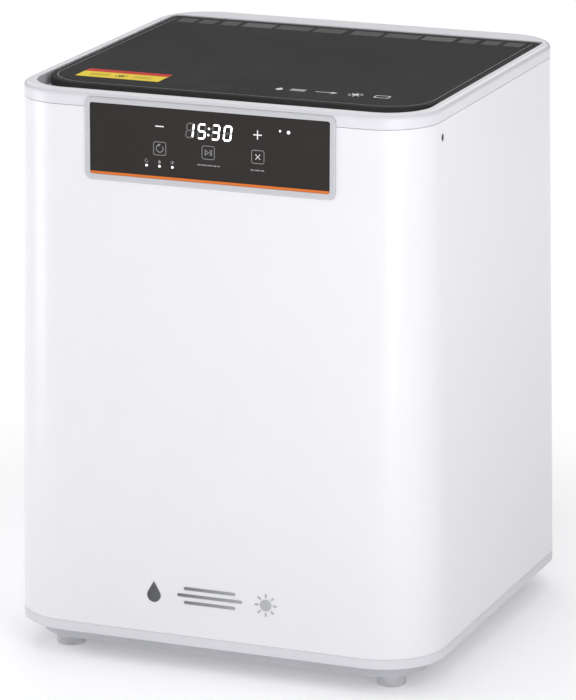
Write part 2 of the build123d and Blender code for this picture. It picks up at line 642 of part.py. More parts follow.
# ================================================================ lid
# Tinted cover with a skirt. It turns on two pins through the side skirts; the back skirt is cut
# short, so that it swings clear of the pocket floor.
with BuildPart() as lid_cover:
    lid_mid_y = (LID_FRONT_Y + LID_BACK_Y) / 2
    lid_depth = LID_BACK_Y - LID_FRONT_Y
    with BuildSketch(level(LID_SKIRT_Z)) as lid_outline:
        with Locations((0, lid_mid_y)):
            Rectangle(2 * LID_HALF_WIDTH, lid_depth)
        fillet(lid_outline.vertices().group_by(Axis.Y)[0], 42)
        fillet(lid_outline.vertices().group_by(Axis.Y)[-1], 5)
    extrude(amount=LID_TOP_Z - LID_SKIRT_Z)
    fillet(lid_cover.faces().sort_by(Axis.Z)[-1].edges(), 1.2)
    with BuildSketch(level(LID_SKIRT_Z)) as lid_hollow:
        with Locations((0, lid_mid_y)):
            Rectangle(2 * (LID_HALF_WIDTH - LID_THICK), lid_depth - 2 * LID_THICK)
        fillet(lid_hollow.vertices().group_by(Axis.Y)[0], 39)
        fillet(lid_hollow.vertices().group_by(Axis.Y)[-1], 3)
    extrude(amount=LID_TOP_Z - LID_PLATE - LID_SKIRT_Z, mode=Mode.SUBTRACT)
    with BuildSketch(level(LID_SKIRT_Z)):
        with Locations((0, HINGE_Y + 6.2)):
            Rectangle(2 * LID_HALF_WIDTH, 10)
    extrude(amount=4, mode=Mode.SUBTRACT)
    for side in (-1, 1):
        with BuildSketch(Plane(origin=(side * 165, HINGE_Y, HINGE_Z), z_dir=(side, 0, 0))):
            Circle(PIN_RADIUS + RUNNING_CLEARANCE)
        extrude(amount=8, mode=Mode.SUBTRACT)
lid_cover.part.label = "lid_cover"

FRAME_Z = LID_TOP_Z - LID_PLATE - 2.0
VIEW_HALF_WIDTH = 160.5
VIEW_FRONT_Y = -104.0
VIEW_BACK_Y = 122.0
REAR_WINDOWS = ((17, 27), (50, 31), (83, 28), (110, 16), (131, 15), (151, 16))
with BuildPart() as lid_frame:
    with BuildSketch(level(FRAME_Z)) as frame_outline:
        with Locations((0, lid_mid_y)):
            Rectangle(2 * (LID_HALF_WIDTH - LID_THICK) - 0.6, lid_depth - 2 * LID_THICK - 0.6)
        fillet(frame_outline.vertices().group_by(Axis.Y)[0], 38)
        fillet(frame_outline.vertices().group_by(Axis.Y)[-1], 3)
        with Locations((0, (VIEW_FRONT_Y + VIEW_BACK_Y) / 2)):
            RectangleRounded(2 * VIEW_HALF_WIDTH, VIEW_BACK_Y - VIEW_FRONT_Y, 14, mode=Mode.SUBTRACT)
        for side in (-1, 1):
            for window_x, window_width in REAR_WINDOWS:
                with Locations((side * window_x, 131.5)):
                    Rectangle(window_width, 16, mode=Mode.SUBTRACT)
    extrude(amount=2)
lid_frame.part.label = "lid_frame"

with BuildPart() as hinge_pins:
    for side in (-1, 1):
        with BuildSketch(Plane(origin=(side * 167.3, HINGE_Y, HINGE_Z), z_dir=(side, 0, 0))):
            Circle(PIN_RADIUS)
        extrude(amount=PIN_END_X - 167.3)
hinge_pins.part.label = "hinge_pins"

with BuildPart() as lid_magnet:
    with BuildSketch(level(FRAME_Z - 2)):
        with Locations((0, LID_FRONT_Y + 6.5)):
            Circle(3)
    extrude(amount=2)
lid_magnet.part.label = "lid_magnet"

with BuildPart() as lid_sensor:
    with BuildSketch(level(POCKET_FLOOR_Z - 7.5)):
        with Locations((0, LID_FRONT_Y + 6)):
            Rectangle(16, 6)
    extrude(amount=5)
lid_sensor.part.label = "lid_sensor"

# ================================================================ rear panel and its fittings
FAN_LOCAL = (0.0, 330.0 - SEAM_Z)
INLET_LOCAL = (-70.0, 128.0 - SEAM_Z)
SWITCH_LOCAL = (-32.0, 128.0 - SEAM_Z)
REAR_FACE = -0.6

with BuildPart() as rear_panel:
    with BuildSketch(BACK.offset(-WALL - 0.1)):
        with Locations((0, REAR_LOCAL_Y)):
            RectangleRounded(REAR_OPENING[0] + 14, REAR_OPENING[1] + 14, 10)
    extrude(amount=-1.6)
    with BuildSketch(BACK.offset(-WALL - 0.1)):
        with Locations((0, REAR_LOCAL_Y)):
            RectangleRounded(REAR_OPENING[0] - 0.6, REAR_OPENING[1] - 0.6, 7.7)
    extrude(amount=WALL + 0.1 + REAR_FACE)
    with BuildSketch(BACK.offset(2)):
        with Locations(FAN_LOCAL):
            Circle(27)
        with Locations(INLET_LOCAL):
            Rectangle(27.4, 20.4)
        with Locations(SWITCH_LOCAL):
            Rectangle(19.4, 13.4)
        with Locations((0, REAR_LOCAL_Y - 22)):
            with GridLocations(100, 9, 2, 7):
                SlotOverall(72, 4)
    extrude(amount=-10, mode=Mode.SUBTRACT)
rear_panel.part.label = "rear_panel"

with BuildPart() as rear_screws:
    with BuildSketch(BACK.offset(REAR_FACE)):
        with Locations((0, REAR_LOCAL_Y)):
            with GridLocations(REAR_OPENING[0] - 16, (REAR_OPENING[1] - 16) / 2, 2, 3):
                Circle(3)
    extrude(amount=0.5)
rear_screws.part.label = "rear_screws"

with BuildPart() as fan_grille:
    with BuildSketch(BACK.offset(REAR_FACE - 2)):
        for ring_radius in (27.0, 20.5, 14.0, 7.5):
            with Locations(FAN_LOCAL):
                Circle(ring_radius)
                Circle(ring_radius - 1.6, mode=Mode.SUBTRACT)
        with Locations(FAN_LOCAL):
            with PolarLocations(13.5, 8):
                Rectangle(25.6, 1.4)
    extrude(amount=1.4)
fan_grille.part.label = "fan_grille"

FAN_FACE = -WALL - 1.8
FAN_DEPTH = 15.0
AXLE_RADIUS = 2.0
with BuildPart() as fan_frame:
    with BuildSketch(BACK.offset(FAN_FACE)):
        with Locations(FAN_LOCAL):
            RectangleRounded(60, 60, 4)
            Circle(28, mode=Mode.SUBTRACT)
    extrude(amount=-FAN_DEPTH)
    with BuildSketch(BACK.offset(FAN_FACE - FAN_DEPTH + 2)):
        with Locations(FAN_LOCAL):
            Circle(12)
            with PolarLocations(20, 3):
                Rectangle(20, 4)
    extrude(amount=-2)
    with BuildSketch(BACK.offset(FAN_FACE - FAN_DEPTH + 2)):
        with Locations(FAN_LOCAL):
            Circle(AXLE_RADIUS)
    extrude(amount=8)
fan_frame.part.label = "fan_frame"

with BuildPart() as fan_rotor:
    with BuildSketch(BACK.offset(FAN_FACE - 1)):
        with Locations(FAN_LOCAL):
            Circle(13)
    extrude(amount=-FAN_DEPTH + 4.5)
    with BuildSketch(BACK.offset(FAN_FACE - 5)):
        with Locations(FAN_LOCAL):
            with PolarLocations(19, 7):
                Rectangle(16, 2)
    extrude(amount=-6)
    with BuildSketch(BACK.offset(FAN_FACE - FAN_DEPTH)):
        with Locations(FAN_LOCAL):
            Circle(AXLE_RADIUS + RUNNING_CLEARANCE)
    extrude(amount=FAN_DEPTH - 3, mode=Mode.SUBTRACT)
fan_rotor.part.label = "fan_rotor"

with BuildPart() as power_inlet:
    with BuildSketch(BACK.offset(REAR_FACE)):
        with Locations(INLET_LOCAL):
            RectangleRounded(31, 24, 3)
    extrude(amount=0.6)
    with BuildSketch(BACK.offset(REAR_FACE)):
        with Locations(INLET_LOCAL):
            Rectangle(27, 20)
    extrude(amount=-22)
    with BuildSketch(BACK.offset(2)):
        with Locations(INLET_LOCAL):
            RectangleRounded(24, 16.5, 2)
    extrude(amount=-19, mode=Mode.SUBTRACT)
power_inlet.part.label = "power_inlet"

with BuildPart() as inlet_pins:
    with BuildSketch(BACK.offset(REAR_FACE - 16.4)):
        with Locations((INLET_LOCAL[0] - 7, INLET_LOCAL[1] - 2), (INLET_LOCAL[0] + 7, INLET_LOCAL[1] - 2)):
            Rectangle(2, 4)
        with Locations((INLET_LOCAL[0], INLET_LOCAL[1] + 3)):
            Rectangle(2, 4)
    extrude(amount=10)
inlet_pins.part.label = "inlet_pins"

TRUNNION_RADIUS = 1.2
TRUNNION_REACH = 9.0
rocker_axis = BACK.offset(-5).from_local_coords(Vector(SWITCH_LOCAL[0], SWITCH_LOCAL[1], 0))
with BuildPart() as switch_body:
    with BuildSketch(BACK.offset(REAR_FACE)):
        with Locations(SWITCH_LOCAL):
            RectangleRounded(22, 16, 1.5)
    extrude(amount=0.6)
    with BuildSketch(BACK.offset(REAR_FACE)):
        with Locations(SWITCH_LOCAL):
            Rectangle(19, 13)
    extrude(amount=-14)
    with BuildSketch(BACK.offset(2)):
        with Locations(SWITCH_LOCAL):
            Rectangle(16.4, 10)
    extrude(amount=-10, mode=Mode.SUBTRACT)
    with BuildSketch(Plane(origin=rocker_axis, z_dir=(1, 0, 0)).offset(-TRUNNION_REACH - 0.2)):
        Circle(TRUNNION_RADIUS + RUNNING_CLEARANCE)
    extrude(amount=2 * TRUNNION_REACH + 0.4, mode=Mode.SUBTRACT)
switch_body.part.label = "switch_body"

# Rocker: a cap with two slopes, so that one end lies flush while the other stands up.
ROCKER_TILT = 8.0
ROCKER_WIDTH = 15.6
rocker_angle = radians(DRAFT + ROCKER_TILT)
rocker_plane = Plane(origin=rocker_axis, x_dir=(0, -sin(rocker_angle), cos(rocker_angle)), z_dir=(1, 0, 0))
with BuildPart() as power_rocker:
    with BuildSketch(rocker_plane.offset(-ROCKER_WIDTH / 2)):
        with BuildLine():
            Polyline((-4.0, -5.6), (0, -4.4), (4.0, -5.6), (2.4, 1.5), (-2.4, 1.5), close=True)
        make_face()
    extrude(amount=ROCKER_WIDTH)
    with BuildSketch(rocker_plane.offset(-TRUNNION_REACH)):
        Circle(TRUNNION_RADIUS)
    extrude(amount=2 * TRUNNION_REACH)
power_rocker.part.label = "power_rocker"

# ================================================================ electronics in the base
DECK_Z = BAND_Z + WALL
with BuildPart() as power_supply:
    with BuildSketch(level(DECK_Z)):
        with Locations((-95, 110)):
            RectangleRounded(120, 70, 2)
    extrude(amount=36)
    fillet(power_supply.faces().sort_by(Axis.Z)[-1].edges(), 1)
power_supply.part.label = "power_supply"

STANDOFF = 8.0
with BuildPart() as standoffs:
    with BuildSketch(level(DECK_Z)):
        with Locations((95, 110)):
            with GridLocations(110, 60, 2, 2):
                RegularPolygon(3, 6)
    extrude(amount=STANDOFF)
standoffs.part.label = "standoffs"

with BuildPart() as main_board:
    with BuildSketch(level(DECK_Z + STANDOFF)):
        with Locations((95, 110)):
            RectangleRounded(120, 70, 3)
    extrude(amount=1.6)
main_board.part.label = "main_board"

with BuildPart() as board_parts:
    with BuildSketch(level(DECK_Z + STANDOFF + 1.6)):
        with Locations((60, 120)):
            with GridLocations(1, 16, 1, 3):
                Rectangle(12, 10)
        with Locations((98, 110)):
            Rectangle(20, 20)
        with Locations((130, 128), (130, 96)):
            Rectangle(22, 10)
    extrude(amount=8)
    with BuildSketch(level(DECK_Z + STANDOFF + 1.6)):
        with Locations((78, 88), (92, 88), (106, 88)):
            Circle(5)
    extrude(amount=14)
board_parts.part.label = "board_parts"

# Internal wiring: one clipped loom up the right side to the panel, one across the base.
with BuildPart() as wiring_loom:
    with BuildLine() as panel_route:
        FilletPolyline(
            (150, 60, 36), (150, -20, 36), (150, -150, 60), (150, -150, 400), (92, -158, 440), radius=18
        )
    with BuildSketch(Plane(origin=panel_route.line @ 0, z_dir=panel_route.line % 0)):
        Circle(2.5)
    sweep()
wiring_loom.part.label = "wiring_loom"

with BuildPart() as supply_lead:
    with BuildLine() as supply_route:
        FilletPolyline((-35, 100, 50), (0, 100, 50), (0, 120, 50), (34, 120, 50), radius=6)
    with BuildSketch(Plane(origin=supply_route.line @ 0, z_dir=supply_route.line % 0)):
        Circle(3)
    sweep()
supply_lead.part.label = "supply_lead"

# ================================================================ export
PIECES = (
    housing_shell, top_rim, base_tray, base_plate, feet, foot_screws,
    panel_bezel, panel_glass, accent_strip, display_module, key_pads, panel_board, emblem,
    chamber_liner, chamber_floor, mouth_seal, led_covers, led_strips, uv_leds, heat_sinks,
    drive_motor, motor_bracket, motor_screws, drive_bush, drive_shaft, turntable, drive_magnets,
    wash_bucket, bucket_pivots, bucket_handle, handle_grip, wash_basket, impeller, impeller_magnets,
    lid_cover, lid_frame, hinge_pins, lid_magnet, lid_sensor,
    rear_panel, rear_screws, fan_grille, fan_frame, fan_rotor, power_inlet, inlet_pins,
    switch_body, power_rocker, power_supply, standoffs, main_board, board_parts,
    wiring_loom, supply_lead,
)

os.makedirs("parts", exist_ok=True)
for piece in PIECES:
    export_step(piece.part, f"parts/{piece.part.label}.step")
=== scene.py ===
import math

import bmesh
import bpy
from mathutils import Matrix, Vector


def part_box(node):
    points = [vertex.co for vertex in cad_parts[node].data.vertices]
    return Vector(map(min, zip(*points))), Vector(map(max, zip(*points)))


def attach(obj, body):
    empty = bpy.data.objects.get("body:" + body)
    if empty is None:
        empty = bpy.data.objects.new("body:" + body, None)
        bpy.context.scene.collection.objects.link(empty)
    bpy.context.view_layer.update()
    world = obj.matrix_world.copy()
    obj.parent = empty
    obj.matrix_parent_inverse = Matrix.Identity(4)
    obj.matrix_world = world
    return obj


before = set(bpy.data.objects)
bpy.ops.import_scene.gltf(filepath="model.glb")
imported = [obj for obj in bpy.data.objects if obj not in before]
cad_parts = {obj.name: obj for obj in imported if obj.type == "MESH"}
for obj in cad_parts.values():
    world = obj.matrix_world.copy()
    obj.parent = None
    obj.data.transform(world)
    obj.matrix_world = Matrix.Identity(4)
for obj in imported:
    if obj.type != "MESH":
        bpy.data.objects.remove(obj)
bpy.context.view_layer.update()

scene = bpy.context.scene
MM = 0.001


# ---------------------------------------------------------------- material building
class Recipe:
    """One procedural material: a principled shader and helpers that add textures sized in millimetres."""

    def __init__(self, name):
        self.material = bpy.data.materials.new(name)
        self.material.use_nodes = True
        self.tree = self.material.node_tree
        self.tree.nodes.clear()
        self.output = self.node("ShaderNodeOutputMaterial")
        self.shader = self.node("ShaderNodeBsdfPrincipled")
        self.join(self.shader.outputs["BSDF"], self.output.inputs["Surface"])
        self.place = self.node("ShaderNodeTexCoord").outputs["Object"]
        self.height = None

    def node(self, kind, **settings):
        made = self.tree.nodes.new(kind)
        for key, value in settings.items():
            setattr(made, key, value)
        return made

    def join(self, a, b):
        self.tree.links.new(a, b)

    def set(self, **values):
        for key, value in values.items():
            self.shader.inputs[key.replace("_", " ")].default_value = value
        return self

    def stretched(self, factors):
        mapping = self.node("ShaderNodeMapping")
        mapping.inputs["Scale"].default_value = factors
        self.join(self.place, mapping.inputs["Vector"])
        return mapping.outputs["Vector"]

    def noise(self, size_mm, detail=2.0, roughness=0.5, vector=None, distortion=0.0):
        made = self.node("ShaderNodeTexNoise")
        made.inputs["Scale"].default_value = 1000.0 / size_mm
        made.inputs["Detail"].default_value = detail
        made.inputs["Roughness"].default_value = roughness
        made.inputs["Distortion"].default_value = distortion
        self.join(self.place if vector is None else vector, made.inputs["Vector"])
        return made.outputs["Fac"]

    def cells(self, size_mm):
        made = self.node("ShaderNodeTexVoronoi")
        made.inputs["Scale"].default_value = 1000.0 / size_mm
        self.join(self.place, made.inputs["Vector"])
        return made.outputs["Distance"]

    def remap(self, value, low, high, start=0.0, end=1.0):
        made = self.node("ShaderNodeMapRange")
        made.inputs["From Min"].default_value = low
        made.inputs["From Max"].default_value = high
        made.inputs["To Min"].default_value = start
        made.inputs["To Max"].default_value = end
        self.join(value, made.inputs["Value"])
        return made.outputs["Result"]

    def blend(self, factor, first, second):
        made = self.node("ShaderNodeMix", data_type="RGBA")
        self.join(factor, made.inputs["Factor"])
        for value, socket in ((first, made.inputs["A"]), (second, made.inputs["B"])):
            if isinstance(value, (tuple, list)):
                socket.default_value = (*value, 1.0)
            else:
                self.join(value, socket)
        return made.outputs["Result"]

    def colour(self, base, spread=0.03, size_mm=60.0, detail=3.0):
        """Base colour with slow, faint variation over the surface."""
        dark = tuple(c * (1.0 - spread) for c in base)
        light = tuple(min(1.0, c * (1.0 + spread)) for c in base)
        factor = self.remap(self.noise(size_mm, detail), 0.3, 0.7)
        result = self.blend(factor, dark, light)
        self.join(result, self.shader.inputs["Base Color"])
        return result

    def gloss(self, middle, spread=0.04, size_mm=25.0, detail=4.0):
        """Roughness that wanders a little, as handled and moulded surfaces do."""
        value = self.remap(self.noise(size_mm, detail), 0.3, 0.7, middle - spread, middle + spread)
        self.join(value, self.shader.inputs["Roughness"])
        return self

    def bump(self, value, depth_mm):
        made = self.node("ShaderNodeBump")
        made.inputs["Strength"].default_value = 1.0
        made.inputs["Distance"].default_value = depth_mm * MM
        self.join(value, made.inputs["Height"])
        if self.height is not None:
            self.join(self.height, made.inputs["Normal"])
        self.height = made.outputs["Normal"]
        self.join(self.height, self.shader.inputs["Normal"])
        return self


def moulded(name, base, rough, grain_mm=0.9, grain_depth=0.012, wave_depth=0.05, spread=0.02, coat=0.0):
    """Injection moulded plastic: fine grain, slow sink waves, faint colour and gloss variation."""
    made = Recipe(name)
    made.colour(base, spread)
    made.gloss(rough, 0.008, 80.0, 1.0)
    made.bump(made.noise(70.0, 1.0), wave_depth)
    made.bump(made.noise(grain_mm, 2.0), grain_depth)
    made.set(Specular_IOR_Level=0.5, Coat_Weight=coat, Coat_Roughness=0.12)
    return made.material


def textured(name, base, rough, cell_mm=0.8, depth=0.05, spread=0.06):
    """Spark-eroded plastic: small irregular pits over the whole surface."""
    made = Recipe(name)
    made.colour(base, spread * 0.5, 35.0)
    made.gloss(rough, 0.015)
    made.bump(made.cells(cell_mm), depth)
    made.bump(made.noise(cell_mm * 0.5, 3.0), depth * 0.4)
    made.set(Specular_IOR_Level=0.35)
    return made.material


def rubber(name, base, rough=0.75):
    made = Recipe(name)
    made.colour(base, 0.12, 9.0)
    made.gloss(rough, 0.08, 5.0)
    made.bump(made.noise(0.7, 4.0, 0.7), 0.05)
    made.set(Specular_IOR_Level=0.3, Sheen_Weight=0.1, Sheen_Roughness=0.5)
    return made.material


def brushed(name, base, rough, along, grain_mm=0.35, depth=0.01):
    """Brushed or rolled metal with its grain along one axis."""
    made = Recipe(name)
    factors = [1.0, 1.0, 1.0]
    factors["XYZ".index(along)] = 0.02
    lines = made.noise(grain_mm, 3.0, 0.6, made.stretched(tuple(factors)))
    dark = tuple(c * 0.86 for c in base)
    tint = made.blend(made.remap(lines, 0.3, 0.7), dark, base)
    made.join(tint, made.shader.inputs["Base Color"])
    made.join(made.remap(lines, 0.3, 0.7, rough - 0.05, rough + 0.07), made.shader.inputs["Roughness"])
    made.bump(lines, depth)
    made.set(Metallic=1.0)
    return made.material


def cast_metal(name, base, rough, grain_mm=0.6, depth=0.02):
    """Plated, turned or cast metal with no direction in its surface."""
    made = Recipe(name)
    made.colour(base, 0.07, 4.0, 4.0)
    made.gloss(rough, 0.07, 3.0)
    made.bump(made.noise(grain_mm, 3.0), depth)
    made.set(Metallic=1.0)
    return made.material


def painted(name, base, rough=0.35):
    """Stoved paint over steel: orange peel and a thin clear layer."""
    made = Recipe(name)
    made.colour(base, 0.05, 20.0)
    made.gloss(rough, 0.05)
    made.bump(made.noise(1.6, 2.0), 0.03)
    made.set(Specular_IOR_Level=0.45, Coat_Weight=0.25, Coat_Roughness=0.2)
    return made.material


def board(name, base):
    """Solder mask over copper tracks: fine ridges, a weave below, satin gloss."""
    made = Recipe(name)
    weave = made.node("ShaderNodeTexBrick")
    weave.inputs["Scale"].default_value = 1000.0 / 9.0
    weave.inputs["Mortar Size"].default_value = 0.03
    weave.inputs["Color1"].default_value = (*base, 1.0)
    weave.inputs["Color2"].default_value = (base[0] * 1.3, base[1] * 1.25, base[2] * 1.2, 1.0)
    weave.inputs["Mortar"].default_value = (base[0] * 2.2, base[1] * 1.8, base[2] * 1.7, 1.0)
    made.join(made.place, weave.inputs["Vector"])
    made.join(weave.outputs["Color"], made.shader.inputs["Base Color"])
    made.gloss(0.35, 0.05, 6.0)
    made.bump(weave.outputs["Fac"], 0.03)
    made.bump(made.noise(0.4, 2.0), 0.01)
    return made.material


def printed(name, base, glow=0.0, rough=0.4, specular=0.3):
    """Screen-printed ink or a lit mark behind glass, slightly uneven."""
    made = Recipe(name)
    made.set(Specular_IOR_Level=specular)
    tone = made.colour(base, 0.06, 1.2)
    made.gloss(rough, 0.08, 1.5)
    made.bump(made.noise(0.25, 2.0), 0.004)
    if glow > 0.0:
        made.join(tone, made.shader.inputs["Emission Color"])
        made.shader.inputs["Emission Strength"].default_value = glow
    return made.material


def foil(name, dark, light, rough, left, right):
    """Brushed foil with its grain along X, dark at one x in millimetres and light at another: a painted
    reflection sweeping across the foil.
    """
    made = Recipe(name)
    lines = made.noise(0.35, 3.0, 0.6, made.stretched((0.02, 1.0, 1.0)))
    split = made.node("ShaderNodeSeparateXYZ")
    made.join(made.place, split.inputs["Vector"])
    across = made.remap(split.outputs["X"], left * MM, right * MM)
    made.join(made.blend(across, dark, light), made.shader.inputs["Base Color"])
    made.join(made.remap(lines, 0.3, 0.7, rough - 0.05, rough + 0.07), made.shader.inputs["Roughness"])
    made.bump(lines, 0.01)
    made.set(Metallic=1.0)
    return made.material


def see_through(name, base, tint, share, rough=0.06, specular=0.3):
    """Tinted clear plastic: a share of the light goes straight through, the rest meets a glossy surface."""
    made = Recipe(name)
    made.colour(base, 0.08, 90.0)
    made.gloss(rough, rough * 0.4, 30.0)
    made.bump(made.noise(120.0, 1.0), 0.02)
    made.bump(made.noise(0.5, 2.0), 0.0015)
    made.set(Specular_IOR_Level=specular)
    clear = made.node("ShaderNodeBsdfTransparent")
    depth = made.remap(made.noise(80.0, 2.0), 0.3, 0.7)
    shade = made.blend(depth, tuple(t * 0.96 for t in tint), tint)
    made.join(shade, clear.inputs["Color"])
    mix = made.node("ShaderNodeMixShader")
    mix.inputs["Fac"].default_value = share
    made.join(made.shader.outputs["BSDF"], mix.inputs[1])
    made.join(clear.outputs["BSDF"], mix.inputs[2])
    made.join(mix.outputs["Shader"], made.output.inputs["Surface"])
    return made.material


def panel_acrylic(name):
    """Back-printed black acrylic: deep gloss with faint dust and wipe marks in its roughness."""
    made = Recipe(name)
    made.colour((0.028, 0.0245, 0.023), 0.06, 40.0)
    wipe = made.noise(14.0, 5.0, 0.6, made.stretched((0.35, 1.0, 1.0)), 0.6)
    made.join(made.remap(wipe, 0.35, 0.8, 0.16, 0.26), made.shader.inputs["Roughness"])
    made.bump(made.noise(160.0, 1.0), 0.04)
    made.bump(made.noise(0.4, 2.0), 0.001)
    made.set(Specular_IOR_Level=0.15)
    return made.material


# The floor's own glow: (distance from the object's middle in metres, strength), nearby and far off.
GLOW_NEAR, GLOW_FAR = (0.45, 0.21), (1.7, 0.64)


def floor_material(name):
    """Pale studio paper with a faint tooth, which glows more away from the object."""
    made = Recipe(name)
    made.colour((0.90, 0.90, 0.905), 0.006, 400.0)
    made.gloss(0.85, 0.05, 60.0)
    made.bump(made.noise(1.5, 3.0), 0.02)
    made.set(Specular_IOR_Level=0.15)
    reach = made.node("ShaderNodeVectorMath", operation="LENGTH")
    made.join(made.place, reach.inputs[0])
    glow = made.remap(reach.outputs["Value"], GLOW_NEAR[0], GLOW_FAR[0], GLOW_NEAR[1], GLOW_FAR[1])
    made.shader.inputs["Emission Color"].default_value = (1.0, 1.0, 1.0, 1.0)
    made.join(glow, made.shader.inputs["Emission Strength"])
    return made.material


emblem_low, emblem_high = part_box("emblem")

M = {
    "shell": moulded("shell_white", (0.80, 0.797, 0.832), 0.30, 7.0, 0.0010, 0.010, 0.006, 0.15),
    "rim": moulded("rim_white", (0.71, 0.707, 0.747), 0.33, 6.0, 0.0010, 0.010, 0.008, 0.15),
    "band": moulded("band_grey", (0.68, 0.678, 0.712), 0.42, 1.6, 0.003, 0.012, 0.012),
    "base": textured("base_grey", (0.52, 0.525, 0.55), 0.55, 0.9, 0.04, 0.04),
    "foot": rubber("foot_rubber", (0.56, 0.56, 0.585), 0.6),
    "bezel": moulded("bezel_grey", (0.53, 0.535, 0.56), 0.30, 0.9, 0.006, 0.02, 0.015, 0.25),
    "panel": panel_acrylic("panel_acrylic"),
    "accent": moulded("accent_orange", (0.73, 0.165, 0.008), 0.32, 0.8, 0.008, 0.02, 0.03),
    # The emblem's sweep from dark at its left end to light at its right end is a painted reflection.
    "emblem": foil(
        "emblem_foil", (0.10, 0.103, 0.11), (0.52, 0.53, 0.55), 0.34, emblem_low.x / MM, emblem_high.x / MM
    ),
    "lid": see_through("lid_tint", (0.066, 0.064, 0.0625), (0.42, 0.35, 0.31), 0.30, 0.10, 0.006),
    # Painted light: the window patches stand in for light seen through the lid at its frame slots, and one
    # copy is painted brighter.
    "window": printed("lid_window_painted_light", (0.066, 0.065, 0.064), 0.0, 0.35, 0.02),
    "window_painted_brighter": printed("lid_window_painted_brighter", (0.105, 0.103, 0.102), 0.0, 0.35, 0.02),
    "lid_frame": textured("frame_black", (0.030, 0.029, 0.029), 0.5, 0.5, 0.02),
    "liner": brushed("liner_sheet", (0.74, 0.745, 0.75), 0.24, "Z"),
    "seal": rubber("seal_rubber", (0.035, 0.035, 0.036), 0.55),
    "cover": see_through("lamp_cover", (0.55, 0.56, 0.60), (0.93, 0.94, 0.97), 0.75, 0.08, 0.4),
    "strip": textured("strip_white", (0.78, 0.79, 0.78), 0.4, 0.6, 0.01, 0.02),
    "lens": moulded("lamp_lens", (0.72, 0.66, 0.36), 0.12, 0.6, 0.004, 0.01, 0.05, 0.6),
    "sink": brushed("sink_aluminium", (0.66, 0.67, 0.69), 0.36, "Z", 0.5),
    "motor": painted("motor_paint", (0.05, 0.05, 0.055)),
    "zinc": cast_metal("zinc_plate", (0.62, 0.63, 0.65), 0.36, 1.6, 0.02),
    "brass": cast_metal("turned_brass", (0.70, 0.53, 0.24), 0.30, 0.5, 0.01),
    "shaft": cast_metal("ground_steel", (0.66, 0.67, 0.69), 0.22, 0.3, 0.004),
    "copper": cast_metal("key_spring", (0.72, 0.42, 0.26), 0.34),
    "turntable": textured("turntable_grey", (0.10, 0.105, 0.11), 0.45, 0.8, 0.03),
    "magnet": cast_metal("nickel_plate", (0.70, 0.69, 0.66), 0.16, 0.8, 0.004),
    "bucket": moulded("bucket_smoke", (0.34, 0.35, 0.37), 0.28, 0.9, 0.006, 0.08, 0.04, 0.3),
    "stainless": brushed("stainless_sheet", (0.70, 0.705, 0.71), 0.27, "X"),
    "grip": textured("grip_black", (0.03, 0.03, 0.032), 0.6, 1.1, 0.10),
    "impeller": moulded("impeller_black", (0.035, 0.035, 0.038), 0.38, 0.7, 0.02, 0.03, 0.06),
    "screw": cast_metal("screw_zinc", (0.58, 0.59, 0.61), 0.32, 0.5, 0.02),
    "screw_black": cast_metal("screw_black", (0.07, 0.07, 0.072), 0.38, 0.5, 0.02),
    "rear": textured("rear_grey", (0.22, 0.225, 0.235), 0.5, 0.9, 0.05),
    "fan": moulded("fan_black", (0.025, 0.025, 0.027), 0.42, 0.8, 0.02, 0.03, 0.08),
    "grille": painted("grille_black", (0.03, 0.03, 0.03), 0.3),
    "inlet": textured("inlet_black", (0.022, 0.022, 0.023), 0.5, 0.5, 0.02),
    "rocker": moulded("rocker_black", (0.02, 0.02, 0.02), 0.18, 0.8, 0.006, 0.02, 0.05, 0.5),
    "supply": brushed("supply_case", (0.60, 0.61, 0.62), 0.38, "X", 0.8),
    "board": board("solder_mask", (0.010, 0.075, 0.035)),
    "chip": textured("component_black", (0.025, 0.025, 0.027), 0.55, 0.4, 0.02),
    "display": textured("display_block", (0.03, 0.03, 0.03), 0.4, 0.5, 0.01),
    "wire": rubber("wire_sleeve", (0.03, 0.03, 0.032), 0.5),
    "lit": printed("lit_white", (1.0, 0.985, 0.95), 1.25),
    "lamp": printed("lamp_white", (0.95, 0.96, 1.0), 0.85),
    "ink": printed("ink_grey", (0.30, 0.30, 0.30), 0.05),
    "ink_bright": printed("ink_white", (0.80, 0.80, 0.80), 0.22),
    "ink_faint": printed("ink_faint", (0.10, 0.098, 0.095), 0.02),
    "label_yellow": printed("label_yellow", (0.90, 0.68, 0.03), 0.0, 0.45, 0.03),
    "label_red": printed("label_red", (0.62, 0.016, 0.008), 0.0, 0.45, 0.03),
    "label_black": printed("label_black", (0.05, 0.04, 0.02), 0.0, 0.45, 0.03),
    "mark_white": printed("mark_white", (0.78, 0.78, 0.78), 0.0, 0.4, 0.05),
    # Painted highlight: a lighter grey line standing in for the shine along the lid's rounded edge.
    "lid_edge_painted_highlight": printed("lid_edge_painted_highlight", (0.15, 0.15, 0.15), 0.0, 0.3, 0.05),
}

